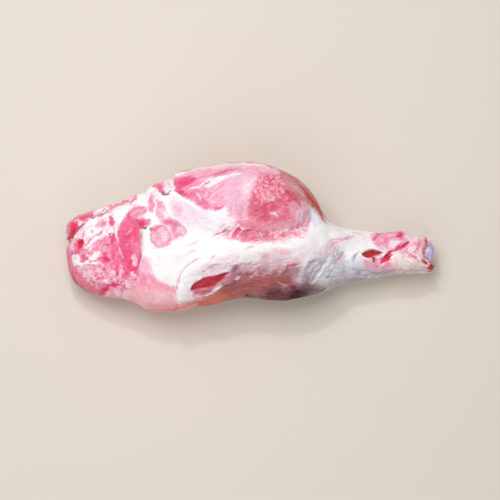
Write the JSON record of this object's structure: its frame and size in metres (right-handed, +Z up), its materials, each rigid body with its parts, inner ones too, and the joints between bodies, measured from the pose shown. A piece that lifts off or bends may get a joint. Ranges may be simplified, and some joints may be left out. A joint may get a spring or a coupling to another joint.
{
  "type": "bone-in pork leg",
  "caption": "Raw skinned bone-in leg lying on its side: broad rump end, rounded muscles under white fat, slim shank ending in a bare hock joint.",
  "frame": {"origin": "centre of the bounding box in plan, on the surface the leg lies on", "axes": "+X runs along the leg from the rump end to the hock, +Y across it towards the round muscle, +Z up"},
  "size_m": [0.4997, 0.2, 0.128],
  "materials": {
    "flesh_and_fat": "moist raw flesh: pink to deep red lean under white fat and thin membrane, soft wet sheen",
    "bone_and_cartilage": "smooth lilac-grey joint cartilage over cream bone, wet sheen"
  },
  "bodies": {
    "root": {"leg_meat": "flesh_and_fat", "shank_bone": "bone_and_cartilage"}
  },
  "joints": []
}
